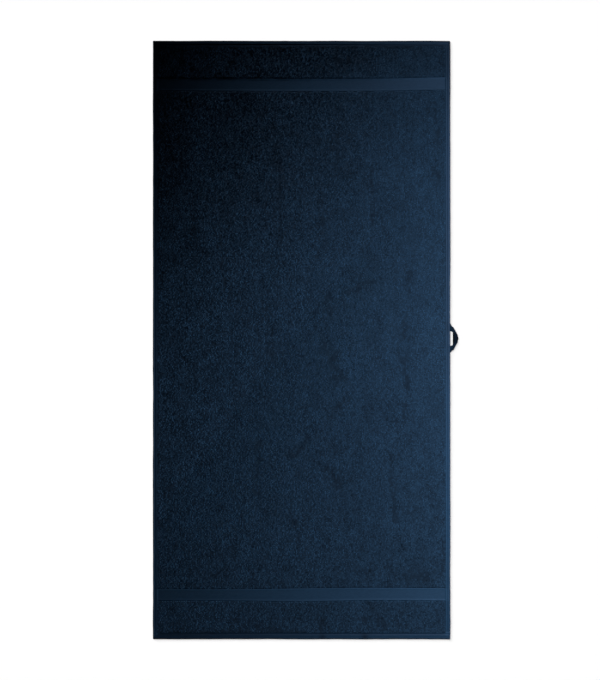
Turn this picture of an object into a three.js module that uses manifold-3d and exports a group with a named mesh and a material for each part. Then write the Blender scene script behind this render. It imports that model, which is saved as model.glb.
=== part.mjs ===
// A bath towel lying flat: one sheet of terry cloth, hemmed all round, with a flat-woven border
// near each end and a folded loop of woven tape caught in the right-hand hem.
// Millimetres. +X runs to the right across the towel, +Y towards its head end, +Z up out of the cloth.
// The origin is the middle of the underside, on the surface that the towel lies on.

import * as THREE from 'three';
import { mergeVertices } from 'three/addons/utils/BufferGeometryUtils.js';
import Module from 'manifold-3d';

const wasm = await Module();
wasm.setup();

// The cloth
const TOWEL_LENGTH = 1400;
const TOWEL_WIDTH = 695;
const CLOTH_THICKNESS = 4;
const CORNER_RADIUS = 1.2;
const HALF_LENGTH = TOWEL_LENGTH / 2;
const HALF_WIDTH = TOWEL_WIDTH / 2;

// The flat-woven borders have no pile, so they lie lower than it on both faces.
const BORDER_TOP = 2.3;
const BORDER_UNDERSIDE = 0.6;
const BORDER_STEP = 2;

// The rounded edge of the hems below their upper face
const RIM_WIDTH = 1;
const RIM_UNDERSIDE = { inset: 0.8, height: 0 };
const RIM_LOW = { inset: 0, height: 0.9 };
const RIM_HIGH = { inset: 0, height: 2 };

// Height of the upper face across each side hem, by distance in from the edge: its crown, the groove
// that the stitching pulls down, the turned edge beside it, and the gap where the pile begins.
// The left-hand hem is stitched nearer to its edge.
const SIDE_HEM_WIDTH = 10;
const LEFT_HEM = [
  { inset: 0.7, height: 2.8 },
  { inset: 1.8, height: 3.2 },
  { inset: 3.2, height: 3.2 },
  { inset: 5, height: 2.6 },
  { inset: 6.8, height: 3.2 },
  { inset: 9.6, height: 3.2 },
  { inset: 11.2, height: BORDER_TOP },
  { inset: 13, height: CLOTH_THICKNESS },
];
const RIGHT_HEM = [
  { inset: 0.7, height: 2.8 },
  { inset: 2.2, height: 3.2 },
  { inset: 5.6, height: 3.2 },
  { inset: 7.4, height: 2.6 },
  { inset: 9.2, height: 3.2 },
  { inset: 10.2, height: 2.9 },
  { inset: 11.2, height: BORDER_TOP },
  { inset: 13, height: CLOTH_THICKNESS },
];

const UNDERSIDE_STEP_INSETS = [9, 11];

// The end hems are wider, and not equally wide.
const HEAD_STITCH_INSET = 9.5;
const FOOT_STITCH_INSET = 11.6;

// Distances of the border edges from their own end of the towel, at places across it.
// They wander a little, because the cloth isn't laid quite evenly.
const BORDER_EDGES = [
  { x: -340, headNear: 88, headFar: 116.5, footNear: 90.5, footFar: 117 },
  { x: -170, headNear: 88, headFar: 117.5, footNear: 89.5, footFar: 116.5 },
  { x: 0, headNear: 88.5, headFar: 118, footNear: 88, footFar: 118.5 },
  { x: 170, headNear: 88, headFar: 117.5, footNear: 90.5, footFar: 120 },
  { x: 340, headNear: 84.5, headFar: 114, footNear: 89.5, footFar: 119 },
];

// Creases and hollows in the pile, as soft troughs between two points. Reach is about half of a
// trough's width, and a negative depth makes a low swell.
const CREASES = [
  { from: [-212, -640], to: [-70, -674], reach: 13, depth: 0.9 },
  { from: [47, -626], to: [50, -678], reach: 12, depth: 1.1 },
  { from: [146, -622], to: [152, -678], reach: 13, depth: 1.1 },
  { from: [262, -632], to: [286, -668], reach: 12, depth: 0.6 },
  { from: [-268, -628], to: [-284, -664], reach: 12, depth: 0.5 },
  { from: [258, 664], to: [262, 622], reach: 10, depth: 0.7 },
  { from: [289, 664], to: [285, 628], reach: 10, depth: 0.6 },
  { from: [-120, 660], to: [-114, 630], reach: 12, depth: 0.5 },
  { from: [108, 114], to: [178, 139], reach: 14, depth: 0.8 },
  { from: [46, 14], to: [88, -22], reach: 20, depth: 0.7 },
  { from: [70, -140], to: [94, -184], reach: 17, depth: 0.7 },
  { from: [-6, -236], to: [18, -262], reach: 18, depth: 0.6 },
  { from: [66, -312], to: [98, -344], reach: 18, depth: 0.7 },
  { from: [232, 52], to: [244, 20], reach: 15, depth: 0.7 },
  { from: [240, -44], to: [246, -84], reach: 15, depth: 0.7 },
  { from: [214, -296], to: [212, -418], reach: 11, depth: 0.6 },
  { from: [-104, -248], to: [-106, -382], reach: 11, depth: 0.5 },
  { from: [262, -534], to: [280, -562], reach: 17, depth: 0.7 },
  { from: [300, -368], to: [308, -404], reach: 15, depth: 0.6 },
  { from: [-322, -132], to: [-300, -146], reach: 11, depth: 0.7 },
  { from: [-322, -232], to: [-298, -226], reach: 12, depth: 0.7 },
  { from: [-324, -318], to: [-302, -334], reach: 12, depth: 0.6 },
  { from: [-322, -420], to: [-296, -412], reach: 12, depth: 0.7 },
  { from: [-210, 420], to: [-150, 180], reach: 90, depth: -0.4 },
  { from: [150, 480], to: [90, 260], reach: 80, depth: -0.3 },
  { from: [-60, -60], to: [-180, -140], reach: 90, depth: -0.3 },
  { from: [160, -480], to: [-40, -470], reach: 80, depth: -0.35 },
  { from: [300, 300], to: [290, 140], reach: 60, depth: -0.25 },
];

// The loop's tape. It leaves the hem at a slant and is folded at each corner, so that its two legs
// lie over the ends of its middle stretch. Places on it are measured out from the towel's
// right-hand edge, and along that edge from the loop's own middle.
const TAPE_WIDTH = 11.6;
const TAPE_THICKNESS = 1;
const LOOP_REACH = 17.8;
const LOOP_CENTRE_Y = 3.5;
const OUTER_STRAIGHT = 12.8;
const OUTER_BOW = 1.7;
const INNER_BOW = 0.4;
const FOLD_SLANT = THREE.MathUtils.degToRad(29);
const LEG_WAIST = 2;
const UPPER_LEG_FLARE = 6;
const LOWER_LEG_FLARE = 2.6;
const LEG_RISE_START = 0.8;
const LEG_RISE_END = 6.8;
const TAIL_LENGTH = 7;
const TAIL_HEIGHT = 1.3;
const LAYER_GAP = 0.3;
const OUTER_EDGE_LIFT = 0.8;
const POCKET_CLEARANCE = 0.3;
const POCKET_OVERRUN = 2;

const LEG_SLOPE = Math.tan(Math.PI / 2 - 2 * FOLD_SLANT);
const FOLD_RADIUS = (TAPE_THICKNESS + LAYER_GAP) / 2;
const MIDDLE_HEIGHT = TAPE_THICKNESS / 2;
const FOLD_HEIGHT = MIDDLE_HEIGHT + FOLD_RADIUS;
const LEG_HEIGHT = FOLD_HEIGHT + FOLD_RADIUS;
const INNER_EDGE_OUT = LOOP_REACH - TAPE_WIDTH;
const INNER_STRAIGHT = OUTER_STRAIGHT + 2 * TAPE_WIDTH / Math.tan(FOLD_SLANT);

// Sections of the tape and of its pocket: share of the way across, and share of the thickness
const TAPE_SECTION = [
  { across: 0, up: -0.25 },
  { across: 0.035, up: -0.5 },
  { across: 0.965, up: -0.5 },
  { across: 1, up: -0.25 },
  { across: 1, up: 0.25 },
  { across: 0.965, up: 0.5 },
  { across: 0.035, up: 0.5 },
  { across: 0, up: 0.25 },
];
const POCKET_SECTION = [
  { across: 0, up: -0.5 },
  { across: 1, up: -0.5 },
  { across: 1, up: 0.5 },
  { across: 0, up: 0.5 },
];

// How finely the surfaces are divided
const FIELD_COLUMNS = 35;
const FIELD_ROWS = 60;
const PANEL_ROWS = 4;
const BORDER_ROWS = 1;
const UNDERSIDE_COLUMNS = 8;
const LEG_STEPS = 6;
const FOLD_STEPS = 6;
const MIDDLE_STEPS = 8;

const CLOTH_MATERIAL = new THREE.MeshStandardMaterial({ color: 0x1b3048, roughness: 0.95, metalness: 0 });
const TAPE_MATERIAL = new THREE.MeshStandardMaterial({ color: 0x172a42, roughness: 0.85, metalness: 0 });

// A closed surface, put together from sheets, strips and tubes that share their corners
class Skin {
  corners = [];
  triangles = [];

  corner(x, y, z) {
    this.corners.push(new THREE.Vector3(x, y, z));
    return this.corners.length - 1;
  }

  quad(a, b, c, d) {
    this.triangles.push(a, b, c, a, c, d);
  }

  // Rows of corners, all equally long. The sheet faces up where rows run along +X, one after
  // another in +Y, and down in the opposite order.
  sheet(rows) {
    for (let row = 1; row < rows.length; row += 1) {
      for (let column = 1; column < rows[row].length; column += 1) {
        const [before, here] = [rows[row - 1], rows[row]];
        this.quad(before[column - 1], before[column], here[column], here[column - 1]);
      }
    }
  }

  // A strip between two rings that run the same way round but may have different corners. Each
  // step goes along the ring that keeps the next cross edge shorter.
  strip(lower, upper) {
    const at = (ring, step) => ring[step % ring.length];
    const span = (a, b) => this.corners[a].distanceTo(this.corners[b]);
    let [low, high] = [0, 0];
    while (low < lower.length || high < upper.length) {
      const [a, b] = [at(lower, low), at(upper, high)];
      const [nextA, nextB] = [at(lower, low + 1), at(upper, high + 1)];
      const lowerIsShorter = span(nextA, b) <= span(a, nextB);
      const stepLower = high === upper.length || (low < lower.length && lowerIsShorter);
      this.triangles.push(a, stepLower ? nextA : nextB, b);
      low += stepLower ? 1 : 0;
      high += stepLower ? 0 : 1;
    }
  }

  // A tube through equally long rings, with a flat cap at each end
  tube(rings) {
    for (let step = 1; step < rings.length; step += 1) {
      const [ring, next] = [rings[step - 1], rings[step]];
      for (let side = 0; side < ring.length; side += 1) {
        const after = (side + 1) % ring.length;
        this.quad(ring[side], ring[after], next[after], next[side]);
      }
    }
    this.cap([...rings[0]].reverse());
    this.cap(rings.at(-1));
  }

  cap(ring) {
    for (let side = 2; side < ring.length; side += 1) {
      this.triangles.push(ring[0], ring[side - 1], ring[side]);
    }
  }

  solid() {
    const geometry = new THREE.BufferGeometry().setFromPoints(this.corners);
    geometry.setIndex(this.triangles);
    const welded = mergeVertices(geometry);
    const vertProperties = new Float32Array(welded.attributes.position.array);
    const triVerts = new Uint32Array(welded.index.array);
    return new wasm.Manifold(new wasm.Mesh({ numProp: 3, vertProperties, triVerts }));
  }
}

function toGeometry(solid) {
  const { numProp, vertProperties, triVerts } = solid.getMesh();
  const geometry = new THREE.BufferGeometry();
  geometry.setAttribute('position', new THREE.BufferAttribute(vertProperties, numProp));
  geometry.setIndex(new THREE.BufferAttribute(triVerts, 1));
  geometry.computeVertexNormals();
  return geometry;
}

// Height of the upper face across an end hem: the same features as on a side hem
function endHem(stitchInset) {
  return [
    { inset: 0.7, height: 2.8 },
    { inset: 2.4, height: 3.1 },
    { inset: stitchInset - 4.6, height: 3.1 },
    { inset: stitchInset - 2.4, height: 3.4 },
    { inset: stitchInset, height: BORDER_TOP },
    { inset: stitchInset + 2.4, height: 3 },
    { inset: stitchInset + 4.8, height: CLOTH_THICKNESS },
  ];
}

// Height on a hem's profile at a distance in from the edge, straight between its rows
function profileHeight(profile, inset) {
  const next = profile.findIndex((row) => row.inset >= inset);
  if (next < 0) return profile.at(-1).height;
  if (next === 0) return profile[0].height;
  const [before, after] = [profile[next - 1], profile[next]];
  const share = (inset - before.inset) / (after.inset - before.inset);
  return THREE.MathUtils.lerp(before.height, after.height, share);
}

// One border edge as a smooth curve: its distance from the towel's end at any place across
function borderEdge(column) {
  const curve = new THREE.SplineCurve(BORDER_EDGES.map((row) => new THREE.Vector2(row.x, row[column])));
  const [first, last] = [BORDER_EDGES[0].x, BORDER_EDGES.at(-1).x];
  return (x) => curve.getPoint(THREE.MathUtils.clamp((x - first) / (last - first), 0, 1)).y;
}

function creaseDepth(x, y) {
  const point = new THREE.Vector3(x, y, 0);
  const nearest = new THREE.Vector3();
  let depth = 0;
  for (const crease of CREASES) {
    const line = new THREE.Line3(new THREE.Vector3(...crease.from), new THREE.Vector3(...crease.to));
    line.closestPointToPoint(point, true, nearest);
    depth += crease.depth * Math.exp(-((point.distanceTo(nearest) / crease.reach) ** 2));
  }
  return depth;
}

// The upper face. An end hem is turned over the side hems, so their grooves stop at its stitching.
function topHeight(x, y, inBorder) {
  const sideInset = HALF_WIDTH - Math.abs(x);
  const endInset = HALF_LENGTH - Math.abs(y);
  const stitchInset = y > 0 ? HEAD_STITCH_INSET : FOOT_STITCH_INSET;
  const sideHem = x < 0 ? LEFT_HEM : RIGHT_HEM;
  const sideProfile = endInset < stitchInset ? sideHem.slice(0, 2) : sideHem;
  const endProfile = endHem(stitchInset);
  const onField = sideInset >= sideHem.at(-1).inset && endInset >= endProfile.at(-1).inset;
  if (onField) return inBorder ? BORDER_TOP : CLOTH_THICKNESS - creaseDepth(x, y);
  const hemHeight = Math.min(profileHeight(sideProfile, sideInset), profileHeight(endProfile, endInset));
  return inBorder && sideInset > SIDE_HEM_WIDTH ? Math.min(hemHeight, BORDER_TOP) : hemHeight;
}

function undersideHeight(x, y, inBorder) {
  const sideInset = HALF_WIDTH - Math.abs(x);
  return inBorder && sideInset > SIDE_HEM_WIDTH ? BORDER_UNDERSIDE : 0;
}

// Evenly spaced steps between two ends, which are left out themselves
function sharesBetween(count) {
  return Array.from({ length: count }, (_, step) => (step + 1) / (count + 1));
}

// Places across the towel: the rows of both side hems, with even columns between them
function placesAcross(leftInsets, rightInsets, columns) {
  const left = leftInsets.map((inset) => inset - HALF_WIDTH);
  const right = rightInsets.map((inset) => HALF_WIDTH - inset).reverse();
  const middle = sharesBetween(columns).map((share) => THREE.MathUtils.lerp(left.at(-1), right[0], share));
  return [...left, ...middle, ...right];
}

// Lines that run across the towel, evenly placed between two others
function linesBetween(first, last, count) {
  return sharesBetween(count).map((share) => ({
    y: (x) => THREE.MathUtils.lerp(first.y(x), last.y(x), share),
    inBorder: first.inBorder && last.inBorder,
  }));
}

// The lines of one end of the towel, from its edge in to the far side of its border
function linesAtEnd({ end, hemInsets, nearEdge, farEdge, panelRows, borderRows }) {
  const line = (inset, inBorder) => ({ y: (x) => end * (HALF_LENGTH - inset(x)), inBorder });
  const [near, far] = [borderEdge(nearEdge), borderEdge(farEdge)];
  const hem = hemInsets.map((inset) => line(() => inset, false));
  const panelStops = line((x) => near(x) - BORDER_STEP / 2, false);
  const borderStarts = line((x) => near(x) + BORDER_STEP / 2, true);
  const borderStops = line((x) => far(x) - BORDER_STEP / 2, true);
  const fieldStarts = line((x) => far(x) + BORDER_STEP / 2, false);
  const panel = linesBetween(hem.at(-1), panelStops, panelRows);
  const border = linesBetween(borderStarts, borderStops, borderRows);
  return [...hem, ...panel, panelStops, borderStarts, ...border, borderStops, fieldStarts];
}

// All lines across the towel, from its foot to its head
function linesAlong({ footInsets, headInsets, panelRows, borderRows, fieldRows }) {
  const atFoot = { end: -1, hemInsets: footInsets, nearEdge: 'footNear', farEdge: 'footFar' };
  const atHead = { end: 1, hemInsets: headInsets, nearEdge: 'headNear', farEdge: 'headFar' };
  const foot = linesAtEnd({ ...atFoot, panelRows, borderRows });
  const head = linesAtEnd({ ...atHead, panelRows, borderRows }).reverse();
  return [...foot, ...linesBetween(foot.at(-1), head[0], fieldRows), ...head];
}

// Draws a place near one of the towel's corners in to the corner's round
function roundedPlace(x, y) {
  const centreX = HALF_WIDTH - CORNER_RADIUS;
  const centreY = HALF_LENGTH - CORNER_RADIUS;
  const [overX, overY] = [Math.abs(x) - centreX, Math.abs(y) - centreY];
  if (overX <= 0 || overY <= 0) return [x, y];
  const scale = Math.max(overX, overY) / Math.hypot(overX, overY);
  return [Math.sign(x) * (centreX + overX * scale), Math.sign(y) * (centreY + overY * scale)];
}

// A sheet's corners, one row for each line, at a height worked out for each place
function sheetCorners(skin, across, lines, height) {
  return lines.map((line) => across.map((x) => {
    const y = line.y(x);
    return skin.corner(...roundedPlace(x, y), height(x, y, line.inBorder));
  }));
}

// The ring round a sheet's rows, anticlockwise seen from above, from the foot's left-hand corner
function ringRound(rows) {
  const foot = rows[0].slice(0, -1);
  const right = rows.slice(0, -1).map((row) => row.at(-1));
  const head = rows.at(-1).slice(1).reverse();
  const left = rows.slice(1).map((row) => row[0]).reverse();
  return [...foot, ...right, ...head, ...left];
}

// The towel's outline at one level of its rim, with a corner for each line that ends there
function rimRing(skin, across, lines, { inset, height }) {
  const ring = ringRound(lines.map((line) => across.map((x) => [x, line.y(x)])));
  const onRim = (place, half) => Math.abs(place) > half - RIM_WIDTH;
  const outward = (place, half) => (onRim(place, half) ? Math.sign(place) * (half - inset) : place);
  return ring.map(([x, y]) => {
    const place = roundedPlace(outward(x, HALF_WIDTH), outward(y, HALF_LENGTH));
    return skin.corner(...place, height);
  });
}

// The sheet of cloth, before the pockets for the loop's ends. The underside is plane but for its
// borders, so it needs far fewer corners than the upper face.
function clothSolid() {
  const skin = new Skin();
  const insetsOf = (profile) => profile.map((row) => row.inset);
  const across = placesAcross(insetsOf(LEFT_HEM), insetsOf(RIGHT_HEM), FIELD_COLUMNS);
  const lines = linesAlong({
    footInsets: insetsOf(endHem(FOOT_STITCH_INSET)),
    headInsets: insetsOf(endHem(HEAD_STITCH_INSET)),
    panelRows: PANEL_ROWS,
    borderRows: BORDER_ROWS,
    fieldRows: FIELD_ROWS,
  });
  const top = sheetCorners(skin, across, lines, topHeight);
  skin.sheet(top);

  const underInsets = [RIM_UNDERSIDE.inset, ...UNDERSIDE_STEP_INSETS];
  const underAcross = placesAcross(underInsets, underInsets, UNDERSIDE_COLUMNS);
  const underLines = linesAlong({
    footInsets: [RIM_UNDERSIDE.inset],
    headInsets: [RIM_UNDERSIDE.inset],
    panelRows: 0,
    borderRows: 0,
    fieldRows: 0,
  });
  const underside = sheetCorners(skin, underAcross, underLines, undersideHeight);
  skin.sheet([...underside].reverse());

  const low = rimRing(skin, across, lines, RIM_LOW);
  const high = rimRing(skin, across, lines, RIM_HIGH);
  skin.strip(ringRound(underside), low);
  skin.strip(low, high);
  skin.strip(high, ringRound(top));
  return skin.solid();
}

// Edges of a leg, the one beside the hole and the far one, as distances along the towel's edge.
// Its hole side is drawn in half-way, and its far side spreads towards the hem by its flare.
function holeSideAlong(out) {
  const waist = LEG_WAIST * Math.sin(Math.PI * THREE.MathUtils.clamp(out / LOOP_REACH, 0, 1));
  return OUTER_STRAIGHT / 2 + (LOOP_REACH - out) * LEG_SLOPE + waist;
}

function farSideAlong(out, flare) {
  const spread = flare * (1 - THREE.MathUtils.clamp(out / INNER_EDGE_OUT, 0, 1)) ** 1.5;
  return INNER_STRAIGHT / 2 + (INNER_EDGE_OUT - out) * LEG_SLOPE + spread;
}

function legHeight(out) {
  const rise = THREE.MathUtils.smoothstep(out, LEG_RISE_START, LEG_RISE_END);
  return THREE.MathUtils.lerp(TAIL_HEIGHT, LEG_HEIGHT, rise);
}

// A station is a line across the tape, from the edge beside the hole to the far edge, with the
// direction that its outer face looks in. All stations are worked out for the upper half.
function legStation(holeOut, farOut, flare) {
  return {
    hole: new THREE.Vector3(holeOut, holeSideAlong(holeOut), legHeight(holeOut)),
    far: new THREE.Vector3(farOut, farSideAlong(farOut, flare), legHeight(farOut)),
    face: new THREE.Vector3(0, 0, 1),
  };
}

function foldStation(turn) {
  const outward = new THREE.Vector3(Math.cos(FOLD_SLANT), Math.sin(FOLD_SLANT), 0);
  const face = outward.multiplyScalar(Math.sin(turn)).setZ(Math.cos(turn));
  const hole = new THREE.Vector3(LOOP_REACH, OUTER_STRAIGHT / 2, FOLD_HEIGHT);
  const far = new THREE.Vector3(INNER_EDGE_OUT, INNER_STRAIGHT / 2, FOLD_HEIGHT);
  hole.addScaledVector(face, FOLD_RADIUS);
  far.addScaledVector(face, FOLD_RADIUS);
  return { hole, far, face };
}

// Share runs from 1 at the upper fold to -1 at the lower one. Between them the tape bows outwards,
// its outer edge more than its inner one, and its outer edge lifts.
function middleStation(share) {
  const bow = 1 - share ** 2;
  const lift = OUTER_EDGE_LIFT * (1 - share ** 2) ** 2;
  return {
    hole: new THREE.Vector3(LOOP_REACH + OUTER_BOW * bow, share * OUTER_STRAIGHT / 2, MIDDLE_HEIGHT + lift),
    far: new THREE.Vector3(INNER_EDGE_OUT + INNER_BOW * bow, share * INNER_STRAIGHT / 2, MIDDLE_HEIGHT),
    face: new THREE.Vector3(0, 0, -1),
  };
}

function mirrored({ hole, far, face }) {
  const flipped = (vector) => new THREE.Vector3(vector.x, -vector.y, vector.z);
  return { hole: flipped(hole), far: flipped(far), face: flipped(face) };
}

// The ring of corners round one station, moved from the loop's own measures to the towel's
function stationRing(skin, { hole, far, face }, section, thickness) {
  const origin = new THREE.Vector3(HALF_WIDTH, LOOP_CENTRE_Y, 0);
  return section.map(({ across, up }) => {
    const corner = hole.clone().lerp(far, across).addScaledVector(face, up * thickness).add(origin);
    return skin.corner(corner.x, corner.y, corner.z);
  });
}

// One leg from its tail in the hem, with the fold at its other end
function legAndFold(flare) {
  const tail = legStation(-TAIL_LENGTH, -TAIL_LENGTH, flare);
  const legShares = [0, ...sharesBetween(LEG_STEPS - 1)];
  const leg = legShares.map((share) => legStation(share * LOOP_REACH, share * INNER_EDGE_OUT, flare));
  const foldTurns = [0, ...sharesBetween(FOLD_STEPS - 1), 1].map((share) => share * Math.PI);
  return [tail, ...leg, ...foldTurns.map(foldStation)];
}

function tapeSolid() {
  const upperHalf = legAndFold(UPPER_LEG_FLARE);
  const middle = sharesBetween(MIDDLE_STEPS - 1).map((share) => middleStation(1 - 2 * share));
  const lowerHalf = legAndFold(LOWER_LEG_FLARE).map(mirrored).reverse();
  const stations = [...upperHalf, ...middle, ...lowerHalf];
  const skin = new Skin();
  skin.tube(stations.map((station) => stationRing(skin, station, TAPE_SECTION, TAPE_THICKNESS)));
  return skin.solid();
}

// The room that one of the tape's tails takes inside the hem, with clearance all round it. The
// clearance beside the slanted tape is a little more when it is measured along the towel's edge.
function pocketSolid(isLower) {
  const beside = POCKET_CLEARANCE * Math.hypot(1, LEG_SLOPE);
  const flare = isLower ? LOWER_LEG_FLARE : UPPER_LEG_FLARE;
  const ends = [-TAIL_LENGTH - POCKET_CLEARANCE, POCKET_OVERRUN].map((out) => ({
    hole: new THREE.Vector3(out, holeSideAlong(0) - out * LEG_SLOPE - beside, TAIL_HEIGHT),
    far: new THREE.Vector3(out, farSideAlong(0, flare) - out * LEG_SLOPE + beside, TAIL_HEIGHT),
    face: new THREE.Vector3(0, 0, 1),
  }));
  const stations = isLower ? ends.map(mirrored).reverse() : ends;
  const skin = new Skin();
  const thickness = TAPE_THICKNESS + 2 * POCKET_CLEARANCE;
  skin.tube(stations.map((station) => stationRing(skin, station, POCKET_SECTION, thickness)));
  return skin.solid();
}

function namedMesh(name, solid, material) {
  const mesh = new THREE.Mesh(toGeometry(solid), material);
  mesh.name = name;
  return mesh;
}

const cloth = clothSolid().subtract(pocketSolid(false)).subtract(pocketSolid(true));

const towel = new THREE.Group();
towel.add(namedMesh('towel_cloth', cloth, CLOTH_MATERIAL));
towel.add(namedMesh('hanging_loop', tapeSolid(), TAPE_MATERIAL));

export default towel;
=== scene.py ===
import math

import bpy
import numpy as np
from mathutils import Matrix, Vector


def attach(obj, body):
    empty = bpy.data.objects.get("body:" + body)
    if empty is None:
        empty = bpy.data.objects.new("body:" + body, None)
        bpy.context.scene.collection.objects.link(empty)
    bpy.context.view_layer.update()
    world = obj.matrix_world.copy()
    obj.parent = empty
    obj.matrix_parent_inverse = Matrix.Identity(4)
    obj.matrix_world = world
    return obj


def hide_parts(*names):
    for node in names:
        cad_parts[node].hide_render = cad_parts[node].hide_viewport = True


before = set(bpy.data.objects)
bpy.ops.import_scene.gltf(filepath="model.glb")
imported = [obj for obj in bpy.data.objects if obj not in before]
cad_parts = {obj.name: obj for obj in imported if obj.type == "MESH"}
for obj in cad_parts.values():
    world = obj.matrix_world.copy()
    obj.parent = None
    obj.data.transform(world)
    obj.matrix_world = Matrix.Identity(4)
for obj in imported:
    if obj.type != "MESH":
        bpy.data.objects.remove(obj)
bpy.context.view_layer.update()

# The looks of a bath towel lying flat: the sheet with its hems and flat-woven borders, the pile on
# both of its faces, the stitching, and the folded loop of tape in the right-hand hem.
# Lengths are millimetres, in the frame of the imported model, and become metres where a mesh, lamp
# or camera is made. +X runs to the right across the towel, +Y towards its head end, +Z up.

MM = 0.001

# The towel's size and its rim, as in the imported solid. A ring of the rim is its distance in from the
# edge and its height.
HALF_WIDTH = 347.5
HALF_LENGTH = 700
CORNER_RADIUS = 1.2
RIM_WIDTH = 1
RIM_FADE = 2
RIM_RINGS = [(0.3, 0.35), (0.0, 0.9), (0.0, 2.0), (0.25, 2.5)]

# Heights in the cloth: the woven ground between the two piles, and the borders, which have none
GROUND_TOP = 2.2
GROUND_UNDERSIDE = 1.5
BORDER_TOP = 2.3
BORDER_UNDERSIDE = 0.6

# The upper face across each hem: rows of distance in from the edge and height. An end hem also has
# rows measured from its own stitching.
SIDE_HEM_WIDTH = 10
LEFT_STITCH_INSET = 5
LEFT_HEM = [
    (0.7, 2.8), (1.8, 3.2), (3.2, 3.2), (5.0, 2.6), (6.8, 3.2), (9.6, 3.2), (11.2, 2.3),
    (13.0, GROUND_TOP),
]
RIGHT_STITCH_INSET = 7.4
RIGHT_HEM = [
    (0.7, 2.8), (2.2, 3.2), (5.6, 3.2), (7.4, 2.6), (9.2, 3.2), (10.2, 2.9), (11.2, 2.3),
    (13.0, GROUND_TOP),
]
HEAD_STITCH_INSET = 9.5
FOOT_STITCH_INSET = 11.6
END_HEM_OUTSIDE = [(0.7, 2.8), (2.4, 3.1)]
END_HEM_STITCHED = [(-4.6, 3.1), (-2.4, 3.4), (0, 2.3), (2.4, 3.0), (4.8, GROUND_TOP)]
HEM_PAST_STITCH = 2.4

# Distances of the border edges from their own end of the towel, at places across it
BORDER_PLACES = [-340, -170, 0, 170, 340]
BORDER_EDGES = {
    "head_near": [88, 88, 88.5, 88, 84.5],
    "head_far": [116.5, 117.5, 118, 117.5, 114],
    "foot_near": [90.5, 89.5, 88, 90.5, 89.5],
    "foot_far": [117, 116.5, 118.5, 120, 119],
}
BORDER_RIDGE_HEIGHT = 0.5
BORDER_RIDGE_REACH = 1.2
BORDER_RIDGE_PLACE = 1.3
BORDER_STOP_INSET = 3

# Widths over which one height of the cloth passes into the next
BORDER_FADE = 1.2
HEM_FADE = 1.5
SEAM_FADE = 3
UNDERSIDE_FADE = 2
UNDERSIDE_OVERLAP = 1
PUCKER_INSET = 14
PUCKER_FADE = 6

# Smooth noises that make the cloth uneven: the strength of each, the size of its features along X
# and Y, and its seed
NOISE_CELLS = 512
UNEVEN = {
    "outline": [(0.35, 70, 60, 5), (0.18, 19, 17, 6)],
    "pucker": [(0.16, 21, 14, 11)],
    "lean_x": [(1, 26, 38, 21), (0.8, 8, 19, 22)],
    "lean_y": [(1, 31, 27, 23), (0.8, 9, 13, 24)],
    "tuft": [(0.04, 17, 24, 31), (0.05, 5, 14, 32)],
    "swell": [(0.50, 3.0, 5.6, 61), (0.14, 7, 12, 62), (0.20, 18, 26, 63)],
    "rows": [(0.8, 2.4, 6.2, 71), (0.1, 7, 12, 72)],
    "speckle": [(0.35, 34, 50, 73)],
    "shade": [(0.14, 26, 44, 74)],
    "breaks": [(0.9, 4.5, 7.5, 75)],
    "bend_x": [(4.5, 11, 15, 76)],
    "bend_y": [(4.5, 12, 17, 77)],
}

# Creases and hollows, as soft troughs between two points: both points, a reach of about half of the
# trough's width, and its depth, which makes a low swell where it is negative
CREASE_FADE = 12
LOST_IN_BORDER = 0.6
UNDERSIDE_CREASE = 0.9
CREASES = [
    ((-212, -640), (-70, -674), 13, 0.9),
    ((47, -626), (50, -678), 12, 1.1),
    ((146, -622), (152, -678), 13, 1.1),
    ((262, -632), (286, -668), 12, 0.6),
    ((-268, -628), (-284, -664), 12, 0.5),
    ((258, 664), (262, 622), 10, 0.7),
    ((289, 664), (285, 628), 10, 0.6),
    ((-120, 660), (-114, 630), 12, 0.5),
    ((108, 114), (178, 139), 14, 0.8),
    ((46, 14), (88, -22), 20, 0.7),
    ((70, -140), (94, -184), 17, 0.7),
    ((-6, -236), (18, -262), 18, 0.6),
    ((66, -312), (98, -344), 18, 0.7),
    ((232, 52), (244, 20), 15, 0.7),
    ((240, -44), (246, -84), 15, 0.7),
    ((214, -296), (212, -418), 11, 0.6),
    ((-104, -248), (-106, -382), 11, 0.5),
    ((262, -534), (280, -562), 17, 0.7),
    ((300, -368), (308, -404), 15, 0.6),
    ((-322, -132), (-300, -146), 11, 0.7),
    ((-322, -232), (-298, -226), 12, 0.7),
    ((-324, -318), (-302, -334), 12, 0.6),
    ((-322, -420), (-296, -412), 12, 0.7),
    ((-210, 420), (-150, 180), 90, -0.4),
    ((150, 480), (90, 260), 80, -0.3),
    ((-60, -60), (-180, -140), 90, -0.3),
    ((160, -480), (-40, -470), 80, -0.35),
    ((300, 300), (290, 140), 60, -0.25),
]

# Patches of painted light and shade for where the pile leans: its middle, its reach along X and Y,
# and how much lighter it makes the tufts there
PAINTED_NAP_PATCHES = [
    ((-62, 386), (75, 90), -0.45),
    ((75, 470), (75, 45), -0.35),
    ((-226, 440), (34, 60), 0.60),
    ((-302, 456), (24, 60), -0.60),
    ((-262, 650), (40, 30), 0.60),
    ((0, 645), (60, 30), 0.30),
    ((198, 641), (34, 28), 0.40),
    ((-139, 304), (60, 70), -0.30),
    ((290, 430), (40, 110), 0.25),
    ((-224, -58), (60, 40), -0.35),
    ((-110, 47), (60, 50), -0.25),
    ((114, -12), (26, 60), 0.25),
    ((116, -70), (20, 50), 0.25),
    ((-258, -339), (50, 80), 0.38),
    ((71, -351), (36, 34), -0.22),
    ((110, -440), (40, 50), -0.18),
    ((-200, -545), (60, 36), -0.25),
    ((-170, -640), (130, 24), -0.28),
    ((185, -640), (34, 26), -0.25),
    ((282, -557), (25, 20), -0.40),
]
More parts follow.
